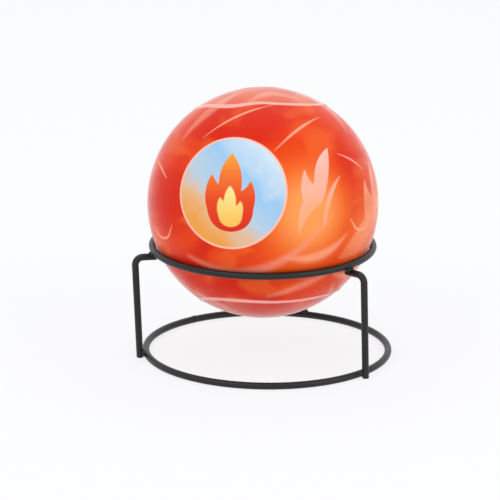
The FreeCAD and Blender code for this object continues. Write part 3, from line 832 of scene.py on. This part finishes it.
def emblem_print(tree, colour):
    spot = add(tree, "Attribute", attribute_name="on_emblem").outputs["Vector"]
    axes = add(tree, "SeparateXYZ", {"Vector": spot})
    diagonal = add(tree, "Math", {0: axes.outputs["X"], 1: axes.outputs["Y"]}, operation="ADD")
    cloud = add(tree, "TexNoise", {"Vector": spot, "Scale": 2.2, "Detail": 2.0})
    drift = add(tree, "Math", {0: diagonal.outputs[0], 1: cloud.outputs["Fac"]}, operation="ADD")
    sky = ramp(tree, drift.outputs[0], -0.7, 1.7, SKY)
    fire = ramp(tree, axes.outputs["Y"], -0.75, 0.65, FIRE)
    heart = ramp(tree, axes.outputs["Y"], -0.55, 0.25, HEART)
    disc = stored(tree, "emblem")
    colour = cover(tree, colour, edge(tree, disc, 0.5), "#FFC2AE")
    colour = cover(tree, colour, edge(tree, disc, 0.7, inset=RIM_WIDTH), sky)
    colour = cover(tree, colour, edge(tree, stored(tree, "emblem_flame"), 0.6), fire)
    return cover(tree, colour, edge(tree, stored(tree, "emblem_core"), 1.0), heart)


# %% The film
GRAIN = (1 / 34, 1 / 90, 1 / 26)
SLANT = (0.5, 0.35, 0.9)
RIPPLE = 14.0


def printed_film(name, ink, pale_ink, flames):
    """The film's material, with two base inks and a streak, two pale inks, and the flames."""
    material, tree, shader = new_material(
        name, IOR=1.53, Specular_IOR_Level=0.10, Sheen_Weight=0.70, Sheen_Roughness=0.25)
    here = add(tree, "Attribute", attribute_name="on_ball").outputs["Vector"]
    slanted = add(tree, "Mapping", {"Vector": here, "Rotation": SLANT, "Scale": GRAIN}).outputs[0]
    flow = add(tree, "TexNoise", {
        "Vector": slanted, "Scale": 1.0, "Detail": 1.5, "Roughness": 0.4,
        "Distortion": 0.5}).outputs["Fac"]
    streaks = add(tree, "TexNoise", {
        "Vector": slanted, "Scale": 1.9, "Detail": 0.5, "Distortion": 0.4}).outputs["Fac"]
    offset = add(tree, "Math", {0: stored(tree, "thin_offset")}, operation="ABSOLUTE")
    thin = add(tree, "Math", {0: offset.outputs[0], 1: stored(tree, "thin_half_width")},
               operation="SUBTRACT").outputs[0]

    colour = cover(tree, linear(ink[0]), soft_range(tree, flow, 0.34, 0.62), ink[1])
    layers = [(soft_range(tree, streaks, 0.50, 0.75, 0.5), ink[2])]
    if flames:
        glow = stored(tree, "glow")
        layers.append((soft_range(tree, glow, 0.02, 0.5), "#F26A22"))
        layers.append((soft_range(tree, glow, 0.3, 0.95, 0.9), "#FCA055"))
        layers.append((edge(tree, stored(tree, "sweep"), 4.0, 0.7), "#FFA983"))
    layers.append((edge(tree, stored(tree, "broad"), 5.0, 0.55), pale_ink[0]))
    layers.append((edge(tree, thin, 1.2, 0.75), pale_ink[1]))
    if flames:
        # A pale pink line along each hem is a painted highlight on its raised edge.
        layers.append((edge(tree, stored(tree, "hem"), 0.8, 0.95, inset=-HEM_WIDTH), "#FFB6A8"))
    for factor, paint in layers:
        colour = cover(tree, colour, factor, paint)
    if flames:
        colour = emblem_print(tree, tongue_print(tree, colour, flow))

    tree.links.new(colour, shader.inputs["Base Color"])
    ripple = add(tree, "TexNoise", {"Vector": here, "Scale": 1 / RIPPLE, "Detail": 2.0})
    gloss = add(tree, "MapRange", {
        "Value": ripple.outputs["Fac"], "To Min": 0.24, "To Max": 0.34})
    tree.links.new(gloss.outputs[0], shader.inputs["Roughness"])
    waves = add(tree, "Bump", {
        "Height": ripple.outputs["Fac"], "Strength": 0.22, "Distance": 0.5 * MM})
    tree.links.new(waves.outputs[0], shader.inputs["Normal"])
    return material


sleeve_film = printed_film(
    "printed PVC shrink film", ("#DA2404", "#E63E0C", "#F26A28"), ("#F79A80", "#FFB79A"), True)
# The caps are one thin film. The crown's inks are paler, partly painted light from above, and the
# bottom's are darker, partly painted shade.
crown_material = printed_film(
    "thin PVC crown film, partly painted light", ("#E2654C", "#EC775C", "#F59A80"), ("#FAB29E", "#FCC4B2"), False)
bottom_material = printed_film(
    "thin PVC bottom film, partly painted shade", ("#D83C24", "#E24E34", "#EA7A5C"), ("#F2A08A", "#F8B4A0"), False)
dress([sleeve], sleeve_film)
dress([crown], crown_material)
dress([bottom], bottom_material)
print("film materials made")

# %% [markdown]
# ## Laying the ball in the stand
# The skins were made about the ball's own centre with the poles upright, where angles are easy.
# The real ball lies with its poles leaning back and a little sideways. The placement is applied
# to the mesh, so the objects end at the origin, as every finished piece has to.

# %% Placing the skins
BALL_ROLL = math.radians(-3.0)
BALL_TILT = math.radians(-13.5)
ball_place = (Matrix.Translation(BALL_CENTRE) @ Matrix.Rotation(BALL_ROLL, 4, "Y")
              @ Matrix.Rotation(BALL_TILT, 4, "X"))
PRINT_NODES = ("emblem_rim", "emblem_field", "emblem_flame", "emblem_core",
               "pale_flames", "orange_flames")
for skin in (sleeve, crown, bottom):
    deselect()
    skin.select_set(True)
    bpy.context.view_layer.objects.active = skin
    skin.matrix_world = ball_place
    bpy.ops.object.transform_apply(location=True, rotation=True, scale=True)
finish_piece(sleeve, "sleeve_skin", "wrap_sleeve", *PRINT_NODES, slot="red_film")
finish_piece(crown, "crown_skin", "crown_film", slot="red_cap_film")
finish_piece(bottom, "bottom_skin", "bottom_film", slot="red_cap_film")

# %% [markdown]
# ## The hidden pieces
# The foam, tape, powder, capsule and fuse are inside the film, and nobody sees them until the
# model is taken apart. Their CAD shapes are right and stay. Each still gets the finish of the
# real thing, from one recipe: two close colours and a bump, both from the same pattern.

# %% Finishes of the hidden pieces
def plain_finish(name, light, dark, grain_mm, roughness, depth_mm, nodes, cells=False):
    material, tree, shader = new_material(name, Roughness=roughness)
    place = add(tree, "TexCoord").outputs["Object"]
    kind = "TexVoronoi" if cells else "TexNoise"
    pattern = add(tree, kind, {"Vector": place, "Scale": 1 / (grain_mm * MM)}).outputs[0]
    tone = add(tree, "Mix", {0: pattern, 6: linear(light), 7: linear(dark)}, data_type="RGBA")
    bump = add(tree, "Bump", {"Height": pattern, "Strength": 0.5, "Distance": depth_mm * MM})
    tree.links.new(tone.outputs[2], shader.inputs["Base Color"])
    tree.links.new(bump.outputs[0], shader.inputs["Normal"])
    dress([frame["nodes"][node] for node in nodes], material)


# Expanded polystyrene shows its beads, about 3 mm across.
plain_finish("expanded polystyrene foam", "#F4F4F0", "#DCDCD6", 3.0, 0.85, 0.15,
             ["shell_upper", "shell_lower"], cells=True)
plain_finish("polypropylene packing tape", "#D9C7A0", "#C9B58A", 12.0, 0.35, 0.03, ["seam_tape"])
plain_finish("ammonium phosphate powder", "#EFE7D2", "#DDD2B8", 0.8, 0.95, 0.20, ["powder_fill"])
plain_finish("spiral-wound kraft card", "#B48A5C", "#9A7248", 2.0, 0.80, 0.06, ["burst_tube"])
plain_finish("pressed dark powder", "#4A4744", "#35322F", 0.9, 0.95, 0.20, ["burst_charge"])
plain_finish("moulded polyethylene", "#E9E7E1", "#DAD8D2", 4.0, 0.45, 0.02,
             ["tube_plug_top", "tube_plug_bottom"])
plain_finish("lacquered cotton fuse", "#7E8F5A", "#64743F", 0.9, 0.70, 0.12,
             ["fuse_lead_top", "fuse_lead_bottom", "fuse_ring"])
print("hidden pieces finished")

# %% [markdown]
# ## Camera
# A long lens from two and a half metres, a little above the ball. The photograph's object isn't
# in the middle of its frame, so the lens is shifted by that much, and the camera is rolled by
# the fraction of a degree by which the picture leans.

# %% The camera
TARGET = Vector((0, 0, 0.090))
DISTANCE = 2.4
ELEVATION = math.radians(15.72)
ROLL = math.radians(0.38)
lens = bpy.data.cameras.new("long lens")
lens.lens = 266.3
lens.sensor_width = 36
lens.sensor_fit = "HORIZONTAL"
lens.shift_x = -0.0356
lens.shift_y = -0.0617
camera = bpy.data.objects.new("camera", lens)
bpy.context.scene.collection.objects.link(camera)
away = Vector((0, -math.cos(ELEVATION), math.sin(ELEVATION)))
aim = (-away).to_track_quat("-Z", "Y").to_matrix().to_4x4()
camera.matrix_world = (
    Matrix.Translation(TARGET + away * DISTANCE) @ aim @ Matrix.Rotation(ROLL, 4, "Z"))
bpy.context.scene.camera = camera
print("camera at", [round(v, 3) for v in camera.matrix_world.translation])

# %% [markdown]
# ## Light, floor and background
# The photograph is a product shot in a white tent: light from everywhere, a little more from the
# upper left, and no hard shadow. A plain world gives the even part and large lamps the rest. To
# the camera and in reflections the world is white. For lighting it is dimmer, so that colours
# render about as they are written.

# %% Floor and world
bpy.context.scene.view_settings.view_transform = "Standard"
deselect()
bpy.ops.mesh.primitive_plane_add(size=14)
floor = bpy.context.object
floor.name = "studio_floor"
paper, tree, shader = new_material("white paper sweep", Roughness=0.9)
fibre = add(tree, "TexNoise", {"Vector": add(tree, "TexCoord").outputs["Object"], "Scale": 60.0})
tone = add(tree, "Mix", {0: fibre.outputs[0], 6: linear("#F6F7FA"), 7: linear("#FAFBFD")},
           data_type="RGBA")
tree.links.new(tone.outputs[2], shader.inputs["Base Color"])
WHITE = "#FCFDFF"
PLAIN_SHARE = 0.8
WORLD_LIGHT = 0.82


def seen_directly(tree):
    """One where a ray comes from the camera, a reflection or a clear piece."""
    path = add(tree, "LightPath")
    either = add(tree, "Math", {
        0: path.outputs["Is Camera Ray"], 1: path.outputs["Is Glossy Ray"]}, operation="MAXIMUM")
    return add(tree, "Math", {
        0: either.outputs[0], 1: path.outputs["Is Transmission Ray"]},
        operation="MAXIMUM").outputs[0]


# The eye sees mostly plain white, and a fifth of the paper's own light keeps the shadow.
share = add(tree, "Math", {0: seen_directly(tree), 1: PLAIN_SHARE}, operation="MULTIPLY")
plain = add(tree, "Emission", {"Color": linear(WHITE), "Strength": 1.0})
surface = add(tree, "MixShader", {0: share.outputs[0], 1: shader.outputs[0], 2: plain.outputs[0]})
tree.links.new(surface.outputs[0], tree.nodes["Material Output"].inputs["Surface"])
dress([floor], paper)

world = bpy.data.worlds.new("white tent")
bpy.context.scene.world = world
world.use_nodes = True
tree = world.node_tree
strength = add(tree, "MapRange", {
    "Value": seen_directly(tree), "To Min": WORLD_LIGHT, "To Max": 1.0})
backdrop = tree.nodes["Background"]
backdrop.inputs["Color"].default_value = linear(WHITE)
tree.links.new(strength.outputs[0], backdrop.inputs["Strength"])
print("floor and world are white")


# %% Lamps
def softbox(name, place, width, watts):
    """A square lamp that faces the ball."""
    lamp = bpy.data.lights.new(name, "AREA")
    lamp.size = width
    lamp.energy = watts
    box = bpy.data.objects.new(name, lamp)
    bpy.context.scene.collection.objects.link(box)
    box.location = place
    box.rotation_euler = (TARGET - Vector(place)).to_track_quat("-Z", "Y").to_euler()


softbox("key softbox", (-1.1, -1.3, 1.7), 1.4, 8)
softbox("fill softbox", (1.4, -1.0, 0.9), 1.4, 6)
softbox("top softbox", (0.0, 0.5, 1.9), 1.4, 5)
